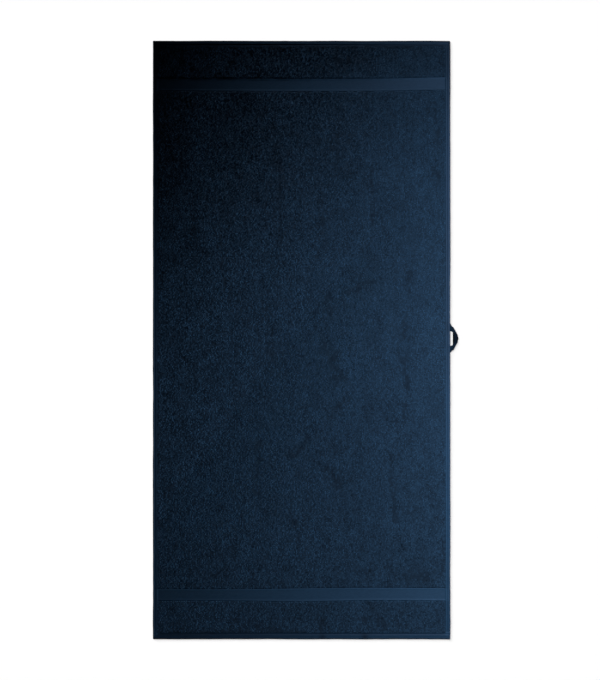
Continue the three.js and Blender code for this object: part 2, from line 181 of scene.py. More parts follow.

# Painted shade and light on the pile along the borders and end hems: the two ends of a line, a reach
# to either side of it, and how much darker the tufts there are
PAINTED_PILE_EDGES = [
    ((-340, 614), (170, 614), 2.2, -0.6),
    ((170, 614), (340, 617), 2.2, -0.6),
    ((-340, -581), (340, -579), 2, -0.4),
    ((-340, 581), (20, 581), 2.6, 1.2),
    ((-340, 686), (262, 686), 2.8, 2.1),
    ((-340, -684), (10, -684), 5, 1.2),
]

# Lines of painted shade where the pile is pressed or parted, in the same measures. They are drawn
# bent and broken, and more of some tufts than of others.
LINE_TUFTS = 1.3
LINE_TUFTS_UNEVEN = 0.9
PAINTED_SHADE_LINES = [
    ((75, 652), (155, 645), 16, 1.25),
    ((-335, 498), (-335, 358), 10, 1.25),
    ((80, 478), (84, 430), 7.5, 1.85),
    ((-52, 415), (-48, 325), 11, 1.1),
    ((166, 405), (167, 276), 4.5, 1.1),
    ((49, 358), (52, 206), 6, 0.8),
    ((-50, 311), (-54, 183), 5, 0.95),
    ((312, 557), (318, 358), 6, 0.8),
    ((254, 183), (252, 112), 5.5, 0.95),
    ((106, 112), (184, 142), 5.5, 1.25),
    ((64, 103), (70, 59), 10, 1.25),
    ((246, 59), (236, 7), 6, 1.55),
    ((58, -10), (86, -90), 11, 1.55),
    ((-74, -14), (-70, -52), 10, 1.1),
    ((240, -38), (246, -112), 6, 1.4),
    ((100, -140), (68, -180), 7, 1.85),
    ((240, -142), (246, -196), 5, 1.25),
    ((18, -228), (-26, -272), 5.5, 1.7),
    ((32, -285), (56, -306), 7.5, 1.4),
    ((74, -304), (86, -344), 7.5, 1.7),
    ((208, -262), (219, -426), 4.5, 1.4),
    ((-103, -239), (-105, -379), 5, 1.25),
    ((-298, -334), (-310, -384), 6, 1.4),
    ((-331, -426), (-308, -450), 6, 1.25),
    ((230, -414), (330, -380), 5, 0.6),
    ((-12, -426), (-8, -449), 10, 1.1),
    ((333, -470), (330, -545), 6, 1.4),
    ((113, -545), (195, -531), 5, 0.95),
    ((195, -531), (242, -555), 5, 0.95),
    ((254, -548), (294, -556), 14, 1.85),
    ((160, -618), (194, -672), 6, 1.25),
    ((148, -655), (150, -686), 6, 2.5),
    ((48, -660), (50, -686), 6, 2.15),
    ((-237, -646), (-52, -680), 5.5, 1.4),
]

# Painted light and shade on the hems, where 1 is the plain colour of their weave: distances in from
# each edge with the light there, then places along it with how many times lighter they are
PAINTED_HEM_LIGHT = {
    "foot": [
        ([0.6, 2.4, 3.6, 8.6, 10.4, 12.2, 13.4], [0.2, 0.9, 1.15, 1.0, 0.5, 0.7, 1.0]),
        ([-300, -120, 60, 300], [0.7, 0.85, 1.05, 1.2]),
    ],
    "head": [
        ([0.6, 2.4, 4, 6.3, 8.6, 10.4, 13.4], [0.1, 0.8, 0.95, 1.3, 1.1, 0.5, 0.5]),
        ([-300, 50, 150, 300], [1.1, 1.2, 1.05, 0.85]),
    ],
    "right": [
        ([0.6, 2.2, 3.4, 5.8, 8.1, 10.4, 12], [0.95, 0.95, 0.9, 1.0, 1.1, 1.2, 1.2]),
        (
            [-651, -492, -328, -140, -41, 123, 211, 290, 398, 522, 648],
            [1.45, 1.6, 1.5, 1.25, 0.9, 0.8, 0.7, 0.83, 0.95, 1.05, 0.75],
        ),
    ],
    "left": [
        ([0.6, 2.4, 3.5, 5.8, 8.2, 10.4, 12], [0.6, 1.5, 1.6, 0.65, 0.8, 1.1, 1.1]),
        ([0], [1]),
    ],
}
# Painted light on the borders: a level at places across the towel for each end, and a painted highlight
# along each border's upper edge, with its reach at each end and its place in from that edge
PAINTED_BORDER_LIGHT = {
    "place": [-290, -145, 0, 140, 300],
    "foot": [0.8, 1.0, 1.15, 1.15, 1.25],
    "head": [0.9, 1.15, 1.3, 1.0, 0.95],
    "foot_edge": [0.5] * 5,
    "head_edge": [1.2, 1.1, 0.9, 0.6, 0.5],
}
HEAD_EDGE_REACH = 3.5
FOOT_EDGE_REACH = 2.4
UPPER_EDGE_PLACE = 1

# Painted shade on the hems, as middle, reach and how much darker: on the shaded upper part of the
# right-hand rim, in puckers in the foot hem, and on the hem round the loop's upper tack
PAINTED_HEM_SHADE = [
    ((348, 660), (2.4, 200), 0.9),
    ((49, -692), (5, 12), 0.6),
    ((149, -692), (6, 14), 0.7),
    ((343, 29), (6, 14), 0.25),
]

# The sheet's division: insets of the lines along each side and end, and the spacing of the others
LEFT_LINE_INSETS = [0.7, 1.3, 1.8, 2.5, 3.2, 3.8, 4.4, 5.0, 5.6, 6.2, 6.8, 7.7, 8.6, 9.6, 10.4, 11.2, 13.0]
RIGHT_LINE_INSETS = [0.7, 1.4, 2.2, 3.3, 4.4, 5.6, 6.2, 6.8, 7.4, 8.0, 8.6, 9.2, 9.7, 10.2, 10.7, 11.2, 13.0]
END_LINE_INSETS = [0.7, 1.5, 2.4, 3.6, 5.0]
STITCH_LINE_STEPS = [-3.6, -2.4, -1.2, 0, 1.2, 2.4, 3.6, 4.8]
COLUMN_SPACING = 11
ROW_SPACING = 4.6
PANEL_ROWS = 14
BORDER_EDGE_STEPS = [-1.2, -0.4, 0.3, 1.1, 1.9, 2.8]
BORDER_ROWS = 9

# The edges aren't ruled straight: they wander by a fraction of a millimetre, and the cloth beside
# them with them, out to the reach given.
EDGE_FUZZ = 0.35
SIDE_WAVE_REACH = 16
END_WAVE_REACH = 20

# The sheet's materials, by their numbers
GROUND, HEM, BORDER = 0, 1, 2

# The pile: one tuft to a cell, with its root between four shared corners and a leaning tip
TOP_CELL = 2.8
UNDERSIDE_CELL = 4.4
LEFT_PILE_INSET = 10.2
RIGHT_PILE_INSET = 10.4
PILE_HEM_GAP = 2.8
PILE_BORDER_GAP = 0.6
PILE_EDGE_WANDER = 0.8
PILE_EDGE_WAVE = 6
PILE_ROOT_SINK = 0.25
TOP_SEED = 40
TOP_ROOT_LIFT = 0.75
TOP_ROOT_UNEVEN = 0.45
TOP_TUFT = 1.7
UNDERSIDE_SEED = 50
UNDERSIDE_ROOT_OUT = 0.1
UNDERSIDE_TUFT = 1.2
UNDERSIDE_FULLER = 0.3
UNDERSIDE_LOWEST = 0.05
TUFT_SHARE = 0.80
TUFT_UNEVEN = 0.34
TUFT_SPREAD = 0.22
LEAN_TOGETHER = 0.10
LEAN_ALONE = 0.42

# Shades of the tufts: how strongly they speckle towards the left and right, where the stronger speckle
# to the left is painted light and shade, and how much each tuft is set off from those beside it
TO_LEFT_SLOPE = 0.6
SPECKLE_LEFT = 1.5
SPECKLE_RIGHT = 0.5
CROWDED_LEFT = 0.3
CROWDED_RIGHT = 0.1
TUFT_SHADE_UNEVEN = 1.35

# Sewing thread: stitches that dip into the cloth at their ends, and zigzag tacks. A wander is its
# size and its turn from one stitch to the next.
THREAD_RADIUS = 0.24
STITCH_LENGTH = 3.1
STITCH_SHARE = 0.84
STITCH_DIP = 0.35
STITCH_RISE = 0.08
STITCH_TAPER = 0.45
STITCH_SKEW = 0.05
STITCH_WANDERS = [(0.15, 0.31), (0.08, 1.7)]
END_SEAM_INSET = 1.6
UNDER_THREAD_HEIGHT = 0.15
TACK_TURNS = 27
TACK_INSETS = (1.2, 3.9)
TACK_MIDDLE_INSET = 2
TACK_INSIDE = 1.2
TACK_OUTSIDE = 0.6
TACK_RISE = 0.16
# The tacks' painted light, as a share of the most that the thread can have
TACK_LIGHT = 0.25

# The loop's tape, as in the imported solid: places are measured out from the towel's right-hand
# edge, and along that edge from the loop's own middle.
TAPE_WIDTH = 11.6
TAPE_THICKNESS = 1
LOOP_REACH = 17.8
LOOP_CENTRE_Y = 3.5
OUTER_STRAIGHT = 12.8
OUTER_BOW = 1.7
INNER_BOW = 0.4
FOLD_SLANT = math.radians(29)
LEG_WAIST = 2
UPPER_LEG_FLARE = 6
LOWER_LEG_FLARE = 2.6
LEG_FLARE_POWER = 1.5
LEG_RISE_START = 0.8
LEG_RISE_END = 6.8
TAIL_LENGTH = 6.5
TAIL_HEIGHT = 1.3
LAYER_GAP = 0.3
OUTER_EDGE_LIFT = 0.8
TAPE_THINNER = 0.06
SELVEDGE_SQUARENESS = 14
SELVEDGE_LEAST = 0.02
SELVEDGE_BULGE = 0.10
SELVEDGE_PLACE = 0.9
SELVEDGE_REACH = 0.06
LEG_SLOPE = math.tan(math.pi / 2 - 2 * FOLD_SLANT)
FOLD_RADIUS = (TAPE_THICKNESS + LAYER_GAP) / 2
MIDDLE_HEIGHT = TAPE_THICKNESS / 2
FOLD_HEIGHT = MIDDLE_HEIGHT + FOLD_RADIUS
LEG_HEIGHT = FOLD_HEIGHT + FOLD_RADIUS
INNER_EDGE_OUT = LOOP_REACH - TAPE_WIDTH
INNER_STRAIGHT = OUTER_STRAIGHT + 2 * TAPE_WIDTH / math.tan(FOLD_SLANT)
TAPE_ACROSS = 18
LEG_STEPS = 14
FOLD_STEPS = 10
MIDDLE_STEPS = 24

# How dark the tape looks: less light reaches it along its folds, and least in the trough along
# the inner half of its middle stretch. Shares of the way across run from its outer edge.
LEG_LIGHT = 0.5
FOLD_LIGHT = 0.4
TROUGH_ACROSS = [0.0, 0.2, 0.36, 0.62, 0.76, 0.82, 1.0]
TROUGH_LIGHT = [0.1, 0.15, 0.6, 0.6, 0.2, 0.02, 0.01]

# Colours, linear, and the ribs of the weave. FULL_LIGHT is how many times its plain colour the
# most brightly painted cloth has, and UNLIT is the painted colour of cloth that no light reaches.
# PILE_DARK is the pile's colour at its roots, painted shade deep in the pile, and on its darkest tufts
PILE_DARK = (0.0040, 0.0130, 0.0285)
PILE_LIGHT = (0.0300, 0.0960, 0.2025)
HEM_DARK = (0.0055, 0.0175, 0.0370)
HEM_LIGHT = (0.0105, 0.0350, 0.0740)
BORDER_DARK = (0.0070, 0.0220, 0.0460)
BORDER_LIGHT = (0.0125, 0.0390, 0.0800)
TAPE_DARK = (0.0022, 0.0065, 0.0130)
TAPE_LIGHT = (0.0075, 0.0215, 0.0430)
THREAD_COLOUR = (0.0105, 0.0320, 0.0660)
UNLIT = (0.0002, 0.0006, 0.0012)
FULL_LIGHT = 2
SHEEN_COLOUR = (0.25, 0.45, 0.75)
GLOSS_COLOUR = (0.34, 0.55, 1.0)
THREAD_SHADED = 0.7
RIB_SPACING = 1.9

# The photograph's frame, and the towel's place in it, in its pixels
FRAME_WIDTH = 600
FRAME_HEIGHT = 680
TOWEL_MIDDLE_PX = (301.5, 340.0)
MM_PER_PX = 2.3407
CLOTH_MIDDLE_HEIGHT = 2
LENS = 100
SENSOR_WIDTH = 36

# The floor and the light, in metres and watts. A softbox has its place, where it points, the tangent
# of its half spread, and its power. A floor light has its place, strength and width in degrees.
FLOOR_HALF = 20
FLOOR_COLOUR = (0.93, 0.93, 0.93, 1)
SOFTBOX_SIZE = 0.5
SOFTBOXES = [
    ("softbox", (0.914, 0.495, 1.322), (1.399, -0.454, 0), 2.08, 39),
    ("low_softbox", (0.704, 1.992, 0.481), (-0.124, 0.231, 0), 0.146, 0.52),
]
FLOOR_LIGHTS = [
    ("floor_light_above", (-0.2, 0.2, 3), 1.09, 60),
    ("floor_light_slanted", (-1.8, 1.6, 2.75), 1.98, 40),
    ("floor_light_low", (-1.9, 1.7, 1.5), 0.94, 24),
    ("floor_light_lowest", (-1.9, 1.7, 0.68), 1.31, 12),
]
ROOM_LIGHT = 0.005
BACKDROP = 1.0


# Small tools for fields over the cloth

def smooth_step(share):
    share = np.clip(share, 0, 1)
    return share * share * (3 - 2 * share)


def value_noise(x, y, size_x, size_y, seed):
    """Smooth noise from -1 to 1 with features of the given size, the same on every run."""
    grid = np.random.default_rng(seed).uniform(-1, 1, (NOISE_CELLS, NOISE_CELLS))
    u, v = x / size_x, y / size_y
    column, row = np.floor(u).astype(int), np.floor(v).astype(int)
    across, along = smooth_step(u - column), smooth_step(v - row)
    left, right = column % NOISE_CELLS, (column + 1) % NOISE_CELLS

    def on_row(number):
        number = number % NOISE_CELLS
        return grid[number, left] * (1 - across) + grid[number, right] * across

    return on_row(row) * (1 - along) + on_row(row + 1) * along


def uneven(kind, x, y):
    """The noises that UNEVEN lists for this kind, added up."""
    return sum(strength * value_noise(x, y, *rest) for strength, *rest in UNEVEN[kind])


def insets(x, y):
    """Distances in from the nearer side and from the nearer end."""
    return HALF_WIDTH - np.abs(x), HALF_LENGTH - np.abs(y)


def end_stitch_inset(y):
    return np.where(y > 0, HEAD_STITCH_INSET, FOOT_STITCH_INSET)


def in_patch(middle, reach, x, y):
    """1 in a patch's middle, and softly less away from it."""
    across, along = (x - middle[0]) / reach[0], (y - middle[1]) / reach[1]
    return np.exp(-(across ** 2) - along ** 2)


def beside_lines(lines, x, y):
    """What all the lines add: each line's strength on it, and softly less to either side."""
    total = 0
    for start, stop, reach, strength in lines:
        start, stop = np.array(start, float), np.array(stop, float)
        run = stop - start
        share = np.clip(((x - start[0]) * run[0] + (y - start[1]) * run[1]) / (run @ run), 0, 1)
        away = np.hypot(x - start[0] - share * run[0], y - start[1] - share * run[1])
        total = total + strength * np.exp(-((away / reach) ** 2))
    return total


# The cloth's surfaces

def profile_height(profile, inset):
    """Height on a hem's profile at a distance in from the edge, smooth between its rows."""
    stops, heights = np.array(profile, float).T
    step = np.clip(np.searchsorted(stops, inset, side="right") - 1, 0, len(stops) - 2)
    share = smooth_step((inset - stops[step]) / (stops[step + 1] - stops[step]))
    return heights[step] + (heights[step + 1] - heights[step]) * share


def end_hem(stitch_inset):
    """An end hem's profile, with its ridges on both sides of its own stitching."""
    return END_HEM_OUTSIDE + [(stitch_inset + step, height) for step, height in END_HEM_STITCHED]


def border_edge(distances):
    """A border edge's distance from its end of the towel, as a smooth function of x."""
    places, distances = np.array(BORDER_PLACES, float), np.array(distances, float)
    slopes = np.gradient(distances, places)

    def distance(x):
        x = np.clip(x, places[0], places[-1])
        step = np.clip(np.searchsorted(places, x, side="right") - 1, 0, len(places) - 2)
        width = places[step + 1] - places[step]
        t = (x - places[step]) / width
        start, stop = distances[step], distances[step + 1]
        rise, fall = slopes[step] * width, slopes[step + 1] * width
        return start + (stop - start) * smooth_step(t) + rise * t * (1 - t) ** 2 - fall * t * t * (1 - t)

    return distance


EDGES = {name: border_edge(distances) for name, distances in BORDER_EDGES.items()}


def border_share(x, y):
    """1 in the two borders and 0 outside them, with how far in from its nearer edge a place lies."""
    end_inset = HALF_LENGTH - np.abs(y)
    near = np.where(y > 0, EDGES["head_near"](x), EDGES["foot_near"](x))
    far = np.where(y > 0, EDGES["head_far"](x), EDGES["foot_far"](x))
    depth_in = np.minimum(end_inset - near, far - end_inset)
    return smooth_step(depth_in / BORDER_FADE + 0.5), depth_in


def creases(x, y):
    """Depth of the creases, and the share of it left where hems and borders hold the cloth flatter."""
    side_inset, end_inset = insets(x, y)
    share, _ = border_share(x, y)
    from_side = smooth_step((side_inset - RIGHT_PILE_INSET) / CREASE_FADE)
    from_end = smooth_step((end_inset - FOOT_STITCH_INSET) / CREASE_FADE)
    return beside_lines(CREASES, x, y), (1 - LOST_IN_BORDER * share) * from_side * from_end


def top_height(x, y):
    """The sheet's upper face: hems, borders and the woven ground under the pile."""
    side_inset, end_inset = insets(x, y)
    stitch_inset = end_stitch_inset(y)
    left_side, right_side = (profile_height(hem, side_inset) for hem in (LEFT_HEM, RIGHT_HEM))
    full_side = np.where(x < 0, left_side, right_side)
    plain_side = profile_height(RIGHT_HEM[:2], side_inset)
    over_side = smooth_step((end_inset - stitch_inset) / SEAM_FADE + 0.5)
    side = plain_side * (1 - over_side) + full_side * over_side
    head = profile_height(end_hem(HEAD_STITCH_INSET), end_inset)
    foot = profile_height(end_hem(FOOT_STITCH_INSET), end_inset)
    ends = np.where(y > 0, head, foot)
    in_side_hem = side_inset < RIGHT_HEM[-1][0]
    in_end_hem = end_inset < stitch_inset + END_HEM_STITCHED[-1][0]
    hems = np.where(in_end_hem & in_side_hem, np.minimum(side, ends), np.where(in_end_hem, ends, side))

    share, depth_in = border_share(x, y)
    inside_hem = smooth_step((side_inset - SIDE_HEM_WIDTH) / HEM_FADE)
    ridge = BORDER_RIDGE_HEIGHT * np.exp(-(((depth_in - BORDER_RIDGE_PLACE) / BORDER_RIDGE_REACH) ** 2))
    border = (BORDER_TOP + ridge) * share + GROUND_TOP * (1 - share)
    height = np.where(in_end_hem, hems, hems * (1 - inside_hem) + border * inside_hem)

    inset = np.minimum(side_inset, end_inset)
    pucker = uneven("pucker", x, y) * smooth_step((PUCKER_INSET - inset) / PUCKER_FADE)
    height = height + pucker * smooth_step((inset - RIM_WIDTH) / RIM_FADE)
    depth, left = creases(x, y)
    return height - depth * left


def underside_height(x, y):
    """The sheet's lower face, which rests on its hems."""
    side_inset, end_inset = insets(x, y)
    share, _ = border_share(x, y)
    inner = GROUND_UNDERSIDE * (1 - share) + BORDER_UNDERSIDE * share
    inside_side = smooth_step((side_inset - SIDE_HEM_WIDTH + UNDERSIDE_OVERLAP) / UNDERSIDE_FADE)
    inside_end = smooth_step((end_inset - end_stitch_inset(y) - UNDERSIDE_OVERLAP) / UNDERSIDE_FADE)
    depth, left = creases(x, y)
    crease = np.maximum(depth, 0) * left
    return (inner - UNDERSIDE_CREASE * crease) * inside_side * inside_end


def painted_hem_light(edge, inset, place):
    across, along = PAINTED_HEM_LIGHT[edge]
    return np.interp(inset, *across) * np.interp(place, *along)


def painted_cloth_light(x, y):
    """Painted light and shade on the hems and borders, as a share of the most that they can have."""
    side_inset, end_inset = insets(x, y)
    at_side = np.where(x > 0, painted_hem_light("right", side_inset, y), painted_hem_light("left", side_inset, y))
    at_end = np.where(y > 0, painted_hem_light("head", end_inset, x), painted_hem_light("foot", end_inset, x))
    light = np.where(end_inset < side_inset, at_end, at_side)

    share, _ = border_share(x, y)
    # The borders' painted light, with a painted highlight along each one's upper edge
    levels = {name: np.interp(x, PAINTED_BORDER_LIGHT["place"], row) for name, row in PAINTED_BORDER_LIGHT.items()}
    upper_edge = np.where(y > 0, end_inset - EDGES["head_near"](x), EDGES["foot_far"](x) - end_inset)
    edge_light = np.where(y > 0, levels["head_edge"], levels["foot_edge"])
    reach = np.where(y > 0, HEAD_EDGE_REACH, FOOT_EDGE_REACH)
    edge_light = edge_light * np.exp(-((upper_edge - UPPER_EDGE_PLACE) / reach) ** 2)
    border = np.where(y > 0, levels["head"], levels["foot"]) + edge_light
    inside = share * smooth_step((side_inset - SIDE_HEM_WIDTH) / HEM_FADE)
    light = light * (1 - inside) + border * inside

    # Painted shade in patches on the hems
    for middle, reach, darker in PAINTED_HEM_SHADE:
        light = light * (1 - darker * in_patch(middle, reach, x, y))
    return light / FULL_LIGHT


# How pieces are made

def add_object(name, data):
    item = bpy.data.objects.new(name, data)
    bpy.context.scene.collection.objects.link(item)
    return item


def make_piece(name, places, faces, materials, attribute, values, material_of=None):
    """A mesh object from places in millimetres, faces of three or four corners, and a value of an
    attribute at each place."""
    mesh = bpy.data.meshes.new(name)
    places, faces = np.asarray(places, float) * MM, np.asarray(faces, np.int32)
    mesh.vertices.add(len(places))
    mesh.vertices.foreach_set("co", places.ravel())
    mesh.loops.add(faces.size)
    mesh.loops.foreach_set("vertex_index", faces.ravel())
    mesh.polygons.add(len(faces))
    mesh.polygons.foreach_set("loop_start", np.arange(len(faces)) * faces.shape[1])
    for material in materials:
        mesh.materials.append(material)
    if material_of is not None:
        mesh.polygons.foreach_set("material_index", np.asarray(material_of, np.int32))
    mesh.update(calc_edges=True)
    mesh.shade_smooth()
    layer = mesh.attributes.new(attribute, "FLOAT", "POINT")
    layer.data.foreach_set("value", np.asarray(values, np.float32))
    piece = add_object(name, mesh)
    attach(piece, "root")
    return piece


def add_plan_map(piece, places, faces):
    """A bake map seen from above."""
    low, high = places.min(0), places.max(0)
    plan = ((places - low) / (high - low))[faces.ravel(), :2]
    layer = piece.data.uv_layers.new(name="OFBake")
    layer.uv.foreach_set("vector", plan.astype(np.float32).ravel())


def ring_faces(numbers):
    """Two triangles for each side between each ring of places and the next."""
    a, b = numbers[:-1], np.roll(numbers[:-1], -1, 1)
    c, d = np.roll(numbers[1:], -1, 1), numbers[1:]
    return [np.stack(corners, -1).reshape(-1, 3) for corners in ((a, b, c), (a, c, d))]


# The sheet

def rounded(x, y):
    """Draws places near the towel's corners in to the corner's round."""
    centre_x, centre_y = HALF_WIDTH - CORNER_RADIUS, HALF_LENGTH - CORNER_RADIUS
    over_x, over_y = np.abs(x) - centre_x, np.abs(y) - centre_y
    corner = (over_x > 0) & (over_y > 0)
    length = np.where(corner, np.hypot(over_x, over_y), 1)
    scale = np.where(corner, np.maximum(over_x, over_y) / length, 1)
    x = np.where(corner, np.sign(x) * (centre_x + over_x * scale), x)
    y = np.where(corner, np.sign(y) * (centre_y + over_y * scale), y)
    return x, y


def columns_across():
    left = np.array(LEFT_LINE_INSETS) - HALF_WIDTH
    right = HALF_WIDTH - np.array(RIGHT_LINE_INSETS[::-1])
    count = round((right[0] - left[-1]) / COLUMN_SPACING)
    return np.concatenate([left, np.linspace(left[-1], right[0], count + 1)[1:-1], right])


def between(first, last, count):
    """The lines that divide the space from the first line to the last in count strips."""
    return [first + (last - first) * step / count for step in range(1, count)]


def end_lines(end, stitch_inset, near, far, x):
    """Rows of y from one end of the towel in to just past its border."""
    near, far = near(x), far(x)
    hem = [*END_LINE_INSETS, *(stitch_inset + step for step in STITCH_LINE_STEPS)]
    rows = [np.full_like(x, inset) for inset in hem]
    rows += between(rows[-1], near + BORDER_EDGE_STEPS[0], PANEL_ROWS)
    rows += [near + step for step in BORDER_EDGE_STEPS]
    rows += between(rows[-1], far - BORDER_EDGE_STEPS[-1], BORDER_ROWS)
    rows += [far - step for step in reversed(BORDER_EDGE_STEPS)]
    return [end * (HALF_LENGTH - row) for row in rows]


def sheet_grid():
    """The sheet's lines: x and y for every crossing, rows from foot to head."""
    across = columns_across()
    foot = end_lines(-1, FOOT_STITCH_INSET, EDGES["foot_near"], EDGES["foot_far"], across)
    head = end_lines(1, HEAD_STITCH_INSET, EDGES["head_near"], EDGES["head_far"], across)[::-1]
    count = round((head[0].mean() - foot[-1].mean()) / ROW_SPACING)
    y = np.array([*foot, *between(foot[-1], head[0], count), *head])
    return np.broadcast_to(across, y.shape).copy(), y


def grid_faces(numbers, upward=True):
    a, b = numbers[:-1, :-1], numbers[:-1, 1:]
    c, d = numbers[1:, 1:], numbers[1:, :-1]
    corners = (a, b, c, d) if upward else (a, d, c, b)
    return np.stack([part.ravel() for part in corners], 1)


def ring_round(grid):
    """The outer ring of a grid, anticlockwise seen from above."""
    return np.concatenate([grid[0, :-1], grid[:-1, -1], grid[-1, :0:-1], grid[:0:-1, 0]])


def sheet_rim(x, y, first):
    """Rings of places round the rim from the bottom up, and their numbers, which start at first."""
    wave = uneven("outline", x, y)
    on_side, on_end = np.abs(x) > HALF_WIDTH - RIM_WIDTH, np.abs(y) > HALF_LENGTH - RIM_WIDTH
    places, numbers = [], []
    for number, (inset, height) in enumerate(RIM_RINGS):
        out = EDGE_FUZZ - inset
        out_x = np.where(on_side, np.sign(x) * (HALF_WIDTH + out), x)
        out_y = np.where(on_end, np.sign(y) * (HALF_LENGTH + out), y)
        out_x, out_y = rounded(out_x + wave * on_side, out_y + wave * on_end)
        places.append(np.stack([out_x, out_y, np.full_like(out_x, height)], 1))
        numbers.append(first + number * len(x) + np.arange(len(x)))
    return places, numbers


def sheet_material(x, y):
    """The number of the sheet's material at a place."""
    side_inset, end_inset = insets(x, y)
    share, _ = border_share(x, y)
    in_hem = (side_inset < SIDE_HEM_WIDTH) | (end_inset < end_stitch_inset(y) + HEM_PAST_STITCH)
    in_border = (share > 0.5) & (side_inset > BORDER_STOP_INSET)
    return np.where(in_border, BORDER, np.where(in_hem, HEM, GROUND))


def towel_sheet(materials):
    """The closed sheet: two faces on the same lines, joined by rings round its rim."""
    x, y = sheet_grid()
    side_inset, end_inset = insets(x, y)
    at_side = smooth_step((SIDE_WAVE_REACH - side_inset) / (SIDE_WAVE_REACH - RIM_WIDTH))
    at_end = smooth_step((END_WAVE_REACH - end_inset) / (END_WAVE_REACH - RIM_WIDTH))
    wave = uneven("outline", x, y)
    moved_x = x + (wave + EDGE_FUZZ * np.sign(x)) * at_side
    moved_y = y + (wave + EDGE_FUZZ * np.sign(y)) * at_end
    round_x, round_y = rounded(moved_x, moved_y)
    top = np.stack([round_x, round_y, top_height(x, y)], -1)
    underside = np.stack([round_x, round_y, underside_height(x, y)], -1)

    numbers = np.arange(x.size).reshape(x.shape)
    ring_x, ring_y = ring_round(x), ring_round(y)
    rim, rim_numbers = sheet_rim(ring_x, ring_y, 2 * x.size)
    rings = [ring_round(numbers + x.size), *rim_numbers, ring_round(numbers)]
    faces = [grid_faces(numbers), grid_faces(numbers + x.size, upward=False)]
    for lower, upper in zip(rings[:-1], rings[1:]):
        faces.append(np.stack([lower, np.roll(lower, -1), np.roll(upper, -1), upper], 1))
    places = np.concatenate([top.reshape(-1, 3), underside.reshape(-1, 3), *rim])
    faces = np.concatenate(faces)
    material_of = sheet_material(*places[faces].mean(1)[:, :2].T)

    # The upper face and rim take the hems' and borders' painted light and shade; the underside is plain
    lights = [painted_cloth_light(x, y).ravel(), np.full(x.size, 1 / FULL_LIGHT)]
    lights += [painted_cloth_light(ring_x, ring_y)] * len(RIM_RINGS)
    light = np.concatenate(lights)
    piece = make_piece("towel_sheet", places, faces, materials, "light", light, material_of)
    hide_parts("towel_cloth")
    return piece


# Pile

def pile_lattice(low_y, high_y, cell, seed):
    """Corners of a field of tufts between two curves that run across the towel."""
    left, right = LEFT_PILE_INSET - HALF_WIDTH, HALF_WIDTH - RIGHT_PILE_INSET
    columns = round((right - left) / cell)
    rows = round(float((high_y(0) - low_y(0))) / cell)
    chance = np.random.default_rng(seed)
    across, along = np.meshgrid(np.arange(columns + 1), np.arange(rows + 1))
    inner_x = (across > 0) & (across < columns)
    inner_y = (along > 0) & (along < rows)
    shift_x = chance.uniform(-1, 1, across.shape) * TUFT_SPREAD * inner_x
    shift_y = chance.uniform(-1, 1, across.shape) * TUFT_SPREAD * inner_y
    x = left + (right - left) * (across + shift_x) / columns
    share = (along + shift_y) / rows
    low = low_y(x) + PILE_EDGE_WANDER * value_noise(x, 0 * x, PILE_EDGE_WAVE, 1, seed)
    high = high_y(x) + PILE_EDGE_WANDER * value_noise(x, 0 * x, PILE_EDGE_WAVE, 1, seed + 1)
    y = low * (1 - share) + high * share
    return x, y, inner_x & inner_y, chance


def tip_places(x, y, cell, chance):
    """Tips lean together in patches and along the warp, and each one a little by itself."""
    x, y = ((grid[:-1, :-1] + grid[:-1, 1:] + grid[1:, 1:] + grid[1:, :-1]) / 4 for grid in (x, y))
    lean_x = LEAN_TOGETHER * uneven("lean_x", x, y) + LEAN_ALONE * chance.uniform(-1, 1, x.shape)
    lean_y = LEAN_TOGETHER * uneven("lean_y", x, y) + LEAN_ALONE * chance.uniform(-1, 1, x.shape)
    return x + lean_x * cell, y + lean_y * cell


def pile_shade(x, y, chance):
    """How much lighter or darker each tuft is, with painted light and shade that speckles more to the left.
    """
    to_left = smooth_step(0.5 - TO_LEFT_SLOPE * x / HALF_WIDTH)
    speckle = SPECKLE_RIGHT + (SPECKLE_LEFT - SPECKLE_RIGHT) * to_left
    crowded = CROWDED_RIGHT + (CROWDED_LEFT - CROWDED_RIGHT) * to_left
    speckle = speckle * (1 + uneven("speckle", x, y))
    alone = chance.uniform(-1, 1, x.shape)
    alone = alone - crowded * (np.roll(alone, 1, 1) + np.roll(alone, -1, 1))
    shade = speckle * (TUFT_SHADE_UNEVEN * alone + uneven("rows", x, y))
    shade += uneven("shade", x, y)
    for middle, reach, lighter in PAINTED_NAP_PATCHES:
        shade += lighter * in_patch(middle, reach, x, y)
    shade -= beside_lines(PAINTED_PILE_EDGES, x, y)
    bent_x, bent_y = x + uneven("bend_x", x, y), y + uneven("bend_y", x, y)
    broken = smooth_step(0.5 + uneven("breaks", x, y)) * (LINE_TUFTS + LINE_TUFTS_UNEVEN * alone)
    return shade - broken * beside_lines(PAINTED_SHADE_LINES, bent_x, bent_y)


def tuft_faces(shape, upward):
    """Four faces for each tuft. Corners come first in the mesh, and tips after them."""
    rows, columns = shape
    corners = np.arange(rows * columns).reshape(shape)
    tips = rows * columns + np.arange((rows - 1) * (columns - 1))
    a, b = corners[:-1, :-1].ravel(), corners[:-1, 1:].ravel()
    c, d = corners[1:, 1:].ravel(), corners[1:, :-1].ravel()
    faces = np.concatenate([np.stack([p, q, tips], 1) for p, q in ((a, b), (b, c), (c, d), (d, a))])
    return faces if upward else faces[:, ::-1]


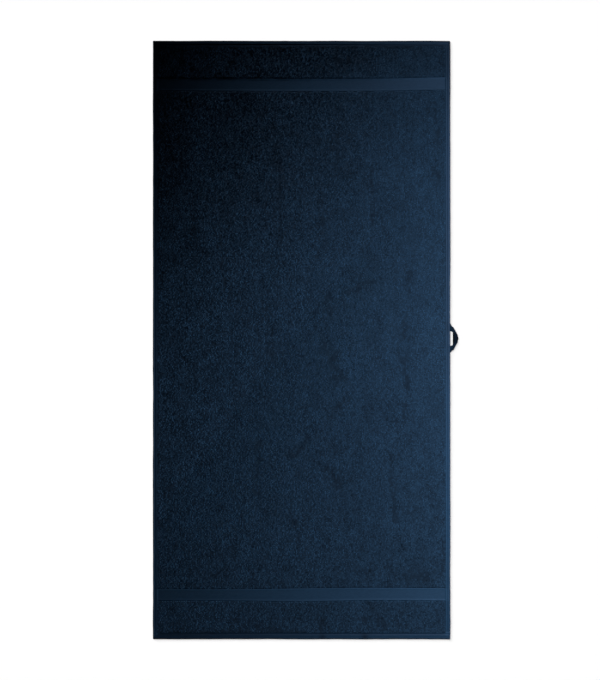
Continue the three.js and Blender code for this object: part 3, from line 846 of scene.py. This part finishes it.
def pile_piece(name, x, y, inner, chance, cell, upward, material):
    tip_x, tip_y = tip_places(x, y, cell, chance)
    share = TUFT_SHARE + uneven("tuft", tip_x, tip_y) + TUFT_UNEVEN * chance.uniform(-1, 1, tip_x.shape)
    if upward:
        root = top_height(x, y) + np.where(inner, TOP_ROOT_LIFT + uneven("swell", x, y), -PILE_ROOT_SINK)
        root += TOP_ROOT_UNEVEN * chance.uniform(-1, 1, x.shape) * inner
        depth, left = creases(tip_x, tip_y)
        tip = GROUND_TOP + TOP_ROOT_LIFT + TOP_TUFT * share + uneven("swell", tip_x, tip_y) - depth * left
    else:
        root = underside_height(x, y) - np.where(inner, UNDERSIDE_ROOT_OUT, -PILE_ROOT_SINK)
        tip = np.maximum(GROUND_UNDERSIDE - UNDERSIDE_TUFT * (share + UNDERSIDE_FULLER), UNDERSIDE_LOWEST)
    corners = np.stack([x.ravel(), y.ravel(), root.ravel()], 1)
    tips = np.stack([tip_x.ravel(), tip_y.ravel(), tip.ravel()], 1)
    places = np.concatenate([corners, tips])
    shade = share + pile_shade(tip_x, tip_y, chance)
    # The roots take 0, the darkest colour: painted shade deep in the pile
    shades = np.concatenate([np.zeros(x.size), shade.ravel()])
    faces = tuft_faces(x.shape, upward)
    piece = make_piece(name, places, faces, [material], "tuft", shades)
    add_plan_map(piece, places, faces)
    return piece


def pile_between(names, low_y, high_y, cell, seed, upward, material):
    """Pile between two curves, as one piece or more, one after another up the towel."""
    x, y, inner, chance = pile_lattice(low_y, high_y, cell, seed)
    stops = np.linspace(0, len(x) - 1, len(names) + 1).round().astype(int)
    made = []
    for name, first, last in zip(names, stops[:-1], stops[1:]):
        rows = slice(first, last + 1)
        made.append(pile_piece(name, x[rows], y[rows], inner[rows], chance, cell, upward, material))
    return made


def all_pile(material):
    def at(end, distance, step):
        return lambda x: end * (HALF_LENGTH - distance(x) - step)

    def flat(distance):
        return lambda x: distance + 0 * np.asarray(x, float)

    head_hem, foot_hem = (flat(inset + PILE_HEM_GAP) for inset in (HEAD_STITCH_INSET, FOOT_STITCH_INSET))
    gap = PILE_BORDER_GAP
    field_low, field_high = at(-1, EDGES["foot_far"], gap), at(1, EDGES["head_far"], gap)
    strips = [
        ("foot_panel", [""], at(-1, foot_hem, 0), at(-1, EDGES["foot_near"], -gap)),
        ("field", ["_foot", "_middle", "_head"], field_low, field_high),
        ("head_panel", [""], at(1, EDGES["head_near"], -gap), at(1, head_hem, 0)),
    ]
    made = []
    for number, (name, parts, low_y, high_y) in enumerate(strips):
        top_names, under_names = [f"pile_{name}{part}" for part in parts], [f"pile_under_{name}"]
        top_seed, under_seed = TOP_SEED + number, UNDERSIDE_SEED + number
        made += pile_between(top_names, low_y, high_y, TOP_CELL, top_seed, True, material)
        made += pile_between(under_names, low_y, high_y, UNDERSIDE_CELL, under_seed, False, material)
    return made


# Sewing thread

def tube(path, radius, sides=5):
    """Places and faces of a closed thread along a path. radius is a number for each place."""
    path = np.asarray(path, float)
    ahead = np.gradient(path, axis=0)
    ahead /= np.linalg.norm(ahead, axis=1, keepdims=True)
    level = np.cross(ahead, (0, 0, 1))
    level /= np.maximum(np.linalg.norm(level, axis=1, keepdims=True), 1e-6)
    upright = np.cross(level, ahead)
    turn = np.arange(sides) * 2 * math.pi / sides
    spread = np.asarray(radius)[:, None, None]
    ring = level[:, None] * np.cos(turn)[None, :, None] + upright[:, None] * np.sin(turn)[None, :, None]
    places = (path[:, None] + ring * spread).reshape(-1, 3)
    numbers = np.arange(len(places)).reshape(len(path), sides)
    start = [(numbers[0, 0], numbers[0, s], numbers[0, s - 1]) for s in range(2, sides)]
    stop = [(numbers[-1, 0], numbers[-1, s - 1], numbers[-1, s]) for s in range(2, sides)]
    return places, np.concatenate([*ring_faces(numbers), start, stop])


def joined(parts):
    """One list of places and faces from many."""
    starts = np.cumsum([0, *(len(places) for places, _ in parts)])
    faces = [faces + start for (_, faces), start in zip(parts, starts)]
    return np.concatenate([places for places, _ in parts]), np.concatenate(faces)


def stitch_lines():
    """Each stitch line's two ends: the side seams, then the foot and head seams over them."""
    left_x, right_x = LEFT_STITCH_INSET - HALF_WIDTH, HALF_WIDTH - RIGHT_STITCH_INSET
    head_y, foot_y = HALF_LENGTH - HEAD_STITCH_INSET, FOOT_STITCH_INSET - HALF_LENGTH
    side_seams = [((x, foot_y), (x, head_y)) for x in (left_x, right_x)]
    end = HALF_WIDTH - END_SEAM_INSET
    return side_seams + [((-end, y), (end, y)) for y in (foot_y, head_y)]


def hem_stitches(material):
    shares = np.linspace(-1, 1, 4)
    radius = THREAD_RADIUS * (1 - STITCH_TAPER * shares ** 4)
    dip = STITCH_DIP * shares ** 4
    parts = []
    for start, stop in stitch_lines():
        start, stop = np.array(start, float), np.array(stop, float)
        length = np.linalg.norm(stop - start)
        ahead = (stop - start) / length
        beside = np.array([-ahead[1], ahead[0]])
        for number in range(int(length // STITCH_LENGTH)):
            wander = sum(size * math.sin(number * turn) for size, turn in STITCH_WANDERS)
            middle = start + ahead * (number + 0.5) * STITCH_LENGTH + beside * wander
            half = shares[:, None] * STITCH_LENGTH * STITCH_SHARE / 2
            flat = middle + half * (ahead + STITCH_SKEW * beside)
            upper = top_height(flat[:, 0], flat[:, 1]) + STITCH_RISE - dip
            parts.append(tube(np.column_stack([flat, upper]), radius))
            parts.append(tube(np.column_stack([flat, UNDER_THREAD_HEIGHT + dip]), radius))
    places, faces = joined(parts)
    # The thread takes the painted light and shade of the hem that it lies on
    light = painted_cloth_light(places[:, 0], places[:, 1])
    return make_piece("hem_stitches", places, faces, [material], "light", light)


# The loop

def hole_side(out):
    waist = LEG_WAIST * np.sin(math.pi * np.clip(out / LOOP_REACH, 0, 1))
    return OUTER_STRAIGHT / 2 + (LOOP_REACH - out) * LEG_SLOPE + waist


def far_side(out, flare):
    spread = flare * (1 - np.clip(out / INNER_EDGE_OUT, 0, 1)) ** LEG_FLARE_POWER
    return INNER_STRAIGHT / 2 + (INNER_EDGE_OUT - out) * LEG_SLOPE + spread


def leg_height(out):
    rise = smooth_step((out - LEG_RISE_START) / (LEG_RISE_END - LEG_RISE_START))
    return TAIL_HEIGHT + (LEG_HEIGHT - TAIL_HEIGHT) * rise


def leg_station(hole_out, far_out, flare):
    """A line across the tape: its edge beside the hole, its far edge, and where its face looks."""
    hole = np.array([hole_out, hole_side(hole_out), leg_height(hole_out)])
    far = np.array([far_out, far_side(far_out, flare), leg_height(far_out)])
    return hole, far, np.array([0.0, 0, 1])


def fold_station(turn):
    outward = np.array([math.cos(FOLD_SLANT), math.sin(FOLD_SLANT), 0])
    face = outward * math.sin(turn) + np.array([0, 0, math.cos(turn)])
    hole = np.array([LOOP_REACH, OUTER_STRAIGHT / 2, FOLD_HEIGHT]) + face * FOLD_RADIUS
    far = np.array([INNER_EDGE_OUT, INNER_STRAIGHT / 2, FOLD_HEIGHT]) + face * FOLD_RADIUS
    return hole, far, face


def middle_station(share):
    bow = 1 - share ** 2
    lift = OUTER_EDGE_LIFT * bow ** 2
    hole = np.array([LOOP_REACH + OUTER_BOW * bow, share * OUTER_STRAIGHT / 2, MIDDLE_HEIGHT + lift])
    far = np.array([INNER_EDGE_OUT + INNER_BOW * bow, share * INNER_STRAIGHT / 2, MIDDLE_HEIGHT])
    return hole, far, np.array([0.0, 0, -1])


def mirrored(station):
    return tuple(part * (1, -1, 1) for part in station)


def leg_and_fold(flare):
    """One leg from its tail in the hem, with the fold at its other end."""
    tail = leg_station(-TAIL_LENGTH, -TAIL_LENGTH, flare)
    steps = np.arange(LEG_STEPS) / LEG_STEPS
    legs = [leg_station(step * LOOP_REACH, step * INNER_EDGE_OUT, flare) for step in steps]
    folds = [fold_station(turn) for turn in np.linspace(0, math.pi, FOLD_STEPS + 1)]
    return [tail, *legs, *folds]


def tape_section():
    """Share of the way across and of the thickness, round the tape, with rounded selvedges."""
    across = np.linspace(0, 1, TAPE_ACROSS)
    out = np.abs(2 * across - 1)
    half = 0.5 * np.sqrt(np.clip(1 - out ** SELVEDGE_SQUARENESS, SELVEDGE_LEAST, 1))
    bulge = SELVEDGE_BULGE * np.exp(-(((out - SELVEDGE_PLACE) / SELVEDGE_REACH) ** 2))
    thick = half * (1 + bulge - TAPE_THINNER)
    under = [(a, -t) for a, t in zip(across, thick)]
    over = [(a, t) for a, t in zip(across[::-1], thick[::-1])]
    return under + over


def tape_light(shares, section):
    """Light on each corner of the tape's rings, from 0 to 1: a half, the middle, the other half."""
    half = [1, *np.linspace(1, LEG_LIGHT, LEG_STEPS), *np.linspace(LEG_LIGHT, FOLD_LIGHT, FOLD_STEPS + 1)]
    levels = np.array([*half, *[FOLD_LIGHT] * len(shares), *half[::-1]])
    troughs = np.array([*np.zeros(len(half)), *(1 - np.square(shares)), *np.zeros(len(half))])
    light = np.interp([a for a, _ in section], TROUGH_ACROSS, TROUGH_LIGHT)
    return levels[:, None] * (1 - troughs[:, None] * (1 - light[None]))


def tape_faces(numbers):
    """Faces along the tape, and those that close its two ends."""
    sides = numbers.shape[1]
    ends = []
    for ring, flip in ((numbers[0], True), (numbers[-1], False)):
        for step in range(sides // 2 - 1):
            strip = (ring[step], ring[step + 1], ring[sides - 2 - step], ring[sides - 1 - step])
            a, b, c, d = strip[::-1] if flip else strip
            ends += [(a, b, c), (a, c, d)]
    return np.concatenate([*ring_faces(numbers), ends])


def loop_tape(material):
    shares = np.linspace(1, -1, MIDDLE_STEPS + 1)[1:-1]
    middle = [middle_station(share) for share in shares]
    lower_half = [mirrored(station) for station in leg_and_fold(LOWER_LEG_FLARE)[::-1]]
    stations = [*leg_and_fold(UPPER_LEG_FLARE), *middle, *lower_half]
    origin = np.array([HALF_WIDTH, LOOP_CENTRE_Y, 0])
    section = tape_section()
    rings = []
    for hole, far, face in stations:
        rings.append([hole + (far - hole) * a + face * t * TAPE_THICKNESS + origin for a, t in section])
    places = np.array(rings).reshape(-1, 3)
    faces = tape_faces(np.arange(len(places)).reshape(-1, len(section)))
    light = tape_light(shares, section).ravel()
    piece = make_piece("loop_tape", places, faces, [material], "light", light)
    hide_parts("hanging_loop")
    return piece


def loop_tacks(material):
    """Dense zigzag tacks through the hem, across each end of the tape."""
    radius = np.full(TACK_TURNS, THREAD_RADIUS)
    inset = np.where(np.arange(TACK_TURNS) % 2, *TACK_INSETS)
    parts = []
    for side, flare in ((1, UPPER_LEG_FLARE), (-1, LOWER_LEG_FLARE)):
        first = hole_side(0) - TACK_INSIDE
        last = far_side(-TACK_MIDDLE_INSET, flare) + TACK_OUTSIDE
        x, y = HALF_WIDTH - inset, LOOP_CENTRE_Y + side * np.linspace(first, last, TACK_TURNS)
        for z in (top_height(x, y) + TACK_RISE, np.full(TACK_TURNS, UNDER_THREAD_HEIGHT)):
            parts.append(tube(np.column_stack([x, y, z]), radius))
    places, faces = joined(parts)
    return make_piece("loop_tacks", places, faces, [material], "light", np.full(len(places), TACK_LIGHT))


# Materials

class Nodes:
    """A material's node tree, with a short way to add and link nodes."""

    def __init__(self, name):
        self.material = bpy.data.materials.new(name)
        self.material.use_nodes = True
        self.tree = self.material.node_tree
        self.shader = self.tree.nodes["Principled BSDF"]
        self.place = self.add("ShaderNodeTexCoord").outputs["Object"]

    def add(self, kind, inputs=None, **settings):
        node = self.tree.nodes.new(kind)
        for name, value in settings.items():
            setattr(node, name, value)
        for name, value in (inputs or {}).items():
            self.set(node.inputs[name], value)
        return node

    def set(self, socket, value):
        if isinstance(value, bpy.types.NodeSocket):
            self.tree.links.new(value, socket)
        else:
            socket.default_value = value

    def scaled(self, x, y, z):
        """The place on the piece, with each axis in features of the given size in millimetres."""
        scale = (1 / (x * MM), 1 / (y * MM), 1 / (z * MM))
        return self.add("ShaderNodeVectorMath", {0: self.place, 1: scale}, operation="MULTIPLY").outputs[0]

    def noise(self, sizes, detail=2.0, roughness=0.5):
        inputs = {"Vector": self.scaled(*sizes), "Scale": 1.0, "Detail": detail, "Roughness": roughness}
        return self.add("ShaderNodeTexNoise", inputs).outputs["Fac"]

    def cells(self, sizes):
        inputs = {"Vector": self.scaled(*sizes), "Scale": 1.0}
        return self.add("ShaderNodeTexVoronoi", inputs).outputs["Distance"]

    def math(self, operation, a, b=0.0, clamp=False):
        node = self.add("ShaderNodeMath", {0: a, 1: b}, operation=operation, use_clamp=clamp)
        return node.outputs[0]

    def wave(self, axis, length):
        """A sine wave along an axis, with the given length in millimetres."""
        place = self.add("ShaderNodeSeparateXYZ", {0: self.place}).outputs[axis]
        return self.math("SINE", self.math("MULTIPLY", place, math.tau / (length * MM)))

    def spread(self, value, given, made=(0.0, 1.0)):
        """Takes a value from one range to another."""
        inputs = {"From Min": given[0], "From Max": given[1], "To Min": made[0], "To Max": made[1]}
        return self.add("ShaderNodeMapRange", {"Value": value, **inputs}).outputs["Result"]

    def colour(self, share, dark, light):
        """Mixes two colours, where the light one may be a node's output."""
        light = light if isinstance(light, bpy.types.NodeSocket) else (*light, 1)
        node = self.add("ShaderNodeMix", data_type="RGBA")
        sockets = {socket.identifier: socket for socket in [*node.inputs, *node.outputs]}
        self.set(sockets["Factor_Float"], share)
        self.set(sockets["A_Color"], (*dark, 1))
        self.set(sockets["B_Color"], light)
        return sockets["Result_Color"]

    def lit(self, colour):
        """The colour, darker where the mesh's own light attribute is less than 1."""
        light = self.add("ShaderNodeAttribute", attribute_name="light").outputs["Fac"]
        return self.colour(light, UNLIT, colour)

    def bump(self, height, strength, distance):
        inputs = {"Height": height, "Strength": strength, "Distance": distance * MM}
        return self.add("ShaderNodeBump", inputs).outputs["Normal"]

    def finish(self, colour, normal, roughness, specular, sheen, gloss=(1, 1, 1)):
        inputs = {
            "Base Color": colour,
            "Normal": normal,
            "Roughness": roughness,
            "Specular IOR Level": specular,
            "Specular Tint": (*gloss, 1),
            "Sheen Weight": sheen,
            "Sheen Roughness": 0.5,
            "Sheen Tint": (*SHEEN_COLOUR, 1),
        }
        for name, value in inputs.items():
            self.set(self.shader.inputs[name], value)
        return self.material


def pile_material():
    """Cotton loops: painted shade at the root, lighter at the tip, uneven from patch to patch."""
    nodes = Nodes("terry_pile")
    tuft = nodes.add("ShaderNodeAttribute", attribute_name="tuft").outputs["Fac"]
    patches = nodes.spread(nodes.noise((24, 34, 24), detail=3.0, roughness=0.6), (0.3, 0.7))
    specks = nodes.spread(nodes.noise((1.7, 2.2, 1.7), detail=2.0, roughness=0.6), (0.32, 0.68))
    lighter = nodes.spread(tuft, (0.0, 2.4), (0.061, 1.126))
    share = nodes.math("MULTIPLY", lighter, nodes.spread(specks, (0, 1), (0.55, 1.25)))
    share = nodes.math("ADD", share, nodes.spread(patches, (0, 1), (-0.04, 0.055)), clamp=True)
    loops = nodes.cells((1.1, 1.4, 1.1))
    height = nodes.math("ADD", loops, nodes.math("MULTIPLY", specks, 0.6))
    normal = nodes.bump(height, strength=0.6, distance=0.7)
    roughness = nodes.spread(specks, (0, 1), (0.85, 1.0))
    colour = nodes.colour(share, PILE_DARK, PILE_LIGHT)
    return nodes.finish(colour, normal, roughness, specular=0.15, sheen=0.12)


def full_light(colour):
    return tuple(FULL_LIGHT * part for part in colour)


def woven_material(name, warp, weft, rib, colours, specular, lit=True):
    """Fine plain weave, with threads of both directions as wide as given in millimetres. rib is how
    strongly the weft shows as ribs across the towel."""
    nodes = Nodes(name)
    weave = nodes.math("MULTIPLY", nodes.wave("X", 2 * warp), nodes.wave("Y", 2 * weft))
    ribs = nodes.wave("Y", RIB_SPACING)
    patches = nodes.noise((9, 3, 9), detail=3.0, roughness=0.6)
    fibres = nodes.noise((0.5, 0.5, 0.5), detail=2.0, roughness=0.6)
    height = nodes.math("ADD", nodes.math("MULTIPLY", weave, 0.5), nodes.math("MULTIPLY", ribs, rib))
    height = nodes.math("ADD", height, nodes.math("MULTIPLY", fibres, 0.8))
    mottling = nodes.spread(patches, (0.3, 0.7), (-0.2, 0.2))
    lighter = nodes.spread(height, (-0.8, 1.6), (0.0, 0.8))
    colour = nodes.colour(nodes.math("ADD", lighter, mottling, clamp=True), *colours)
    # Painted light and shade, from the mesh's light attribute
    if lit:
        colour = nodes.lit(colour)
    normal = nodes.bump(height, strength=0.5, distance=0.25)
    roughness = nodes.spread(fibres, (0.3, 0.7), (0.44, 0.58))
    return nodes.finish(colour, normal, roughness, specular, sheen=0.04, gloss=GLOSS_COLOUR)


def thread_material():
    nodes = Nodes("sewing_thread")
    twist = nodes.noise((0.25, 0.6, 0.25), detail=1.0)
    normal = nodes.bump(twist, strength=0.4, distance=0.1)
    full = full_light(THREAD_COLOUR)
    shaded = tuple(THREAD_SHADED * part for part in full)
    colour = nodes.lit(nodes.colour(nodes.spread(twist, (0.3, 0.7)), shaded, full))
    return nodes.finish(colour, normal, roughness=0.6, specular=0.2, sheen=0.05)


# Camera, floor and lights

def make_camera():
    """Straight above the towel, which lies a little right of the frame's middle."""
    data = bpy.data.cameras.new("camera")
    data.lens, data.sensor_width, data.sensor_fit = LENS, SENSOR_WIDTH, "AUTO"
    data.clip_start, data.clip_end = 0.05, 100
    camera = add_object("camera", data)
    distance = FRAME_HEIGHT * MM_PER_PX * LENS / SENSOR_WIDTH
    off_x = (FRAME_WIDTH / 2 - TOWEL_MIDDLE_PX[0]) * MM_PER_PX
    off_y = (TOWEL_MIDDLE_PX[1] - FRAME_HEIGHT / 2) * MM_PER_PX
    camera.location = (off_x * MM, off_y * MM, (distance + CLOTH_MIDDLE_HEIGHT) * MM)
    bpy.context.scene.camera = camera


def make_floor():
    mesh = bpy.data.meshes.new("floor")
    half = FLOOR_HALF
    corners = [(-half, -half, 0), (half, -half, 0), (half, half, 0), (-half, half, 0)]
    mesh.from_pydata(corners, [], [(0, 1, 2, 3)])
    floor = add_object("floor", mesh)
    material = bpy.data.materials.new("pale_floor")
    material.use_nodes = True
    inputs = material.node_tree.nodes["Principled BSDF"].inputs
    inputs["Base Color"].default_value = FLOOR_COLOUR
    inputs["Roughness"].default_value = 0.9
    inputs["Specular IOR Level"].default_value = 0.1
    mesh.materials.append(material)
    return floor


def add_lamp(name, kind, place, aim, lit):
    """A lamp that lights the given objects alone, though everything casts its shadow in its light."""
    light = bpy.data.lights.new(name, kind)
    lamp = add_object(name, light)
    lamp.location = place
    lamp.rotation_euler = (Vector(aim) - Vector(place)).to_track_quat("-Z", "Y").to_euler()
    group = bpy.data.collections.new("lit_by_" + name)
    for item in lit:
        group.objects.link(item)
    lamp.light_linking.receiver_collection = group
    return light


def make_lights(floor, pieces):
    """Softboxes with grids beside the towel, and even light from above for the floor."""
    for name, place, aim, reach, watts in SOFTBOXES:
        softbox = add_lamp(name, "AREA", place, aim, pieces)
        softbox.shape, softbox.size = "SQUARE", SOFTBOX_SIZE
        softbox.spread, softbox.energy = 2 * math.atan(reach), watts
    for name, place, strength, width in FLOOR_LIGHTS:
        sky = add_lamp(name, "SUN", place, (0, 0, 0), [floor])
        sky.energy, sky.angle = strength, math.radians(width)


def make_room():
    """A dim, even room, which looks white behind the floor."""
    world = bpy.data.worlds.new("room")
    bpy.context.scene.world = world
    world.use_nodes = True
    tree = world.node_tree
    background = tree.nodes["Background"]
    background.inputs["Color"].default_value = (1, 1, 1, 1)
    seen = tree.nodes.new("ShaderNodeLightPath").outputs["Is Camera Ray"]
    strength = tree.nodes.new("ShaderNodeMapRange")
    strength.inputs["To Min"].default_value = ROOM_LIGHT
    strength.inputs["To Max"].default_value = BACKDROP
    tree.links.new(seen, strength.inputs["Value"])
    tree.links.new(strength.outputs["Result"], background.inputs["Strength"])


# The whole scene

bpy.context.scene.view_settings.view_transform = "Standard"
make_camera()
pile = pile_material()
hem_colours = [full_light(colour) for colour in (HEM_DARK, HEM_LIGHT)]
border_colours = [full_light(colour) for colour in (BORDER_DARK, BORDER_LIGHT)]
# The ground under the pile is painted in shade, from the pile's root colour to the hems' darkest
ground = woven_material("woven_ground", 0.9, 0.9, 0.2, [PILE_DARK, HEM_DARK], 0.05, lit=False)
hem = woven_material("hem_weave", 0.8, 0.8, 0.1, hem_colours, 0.35)
border = woven_material("border_weave", 0.8, 0.95, 0.6, border_colours, 0.4)
tape = woven_material("tape_weave", 0.7, 0.7, 0.2, [TAPE_DARK, TAPE_LIGHT], 0.05)
thread = thread_material()

sheet = towel_sheet([ground, hem, border])
on_sheet = [*all_pile(pile), hem_stitches(thread), loop_tape(tape), loop_tacks(thread)]

floor = make_floor()
make_lights(floor, [sheet, *on_sheet])
make_room()
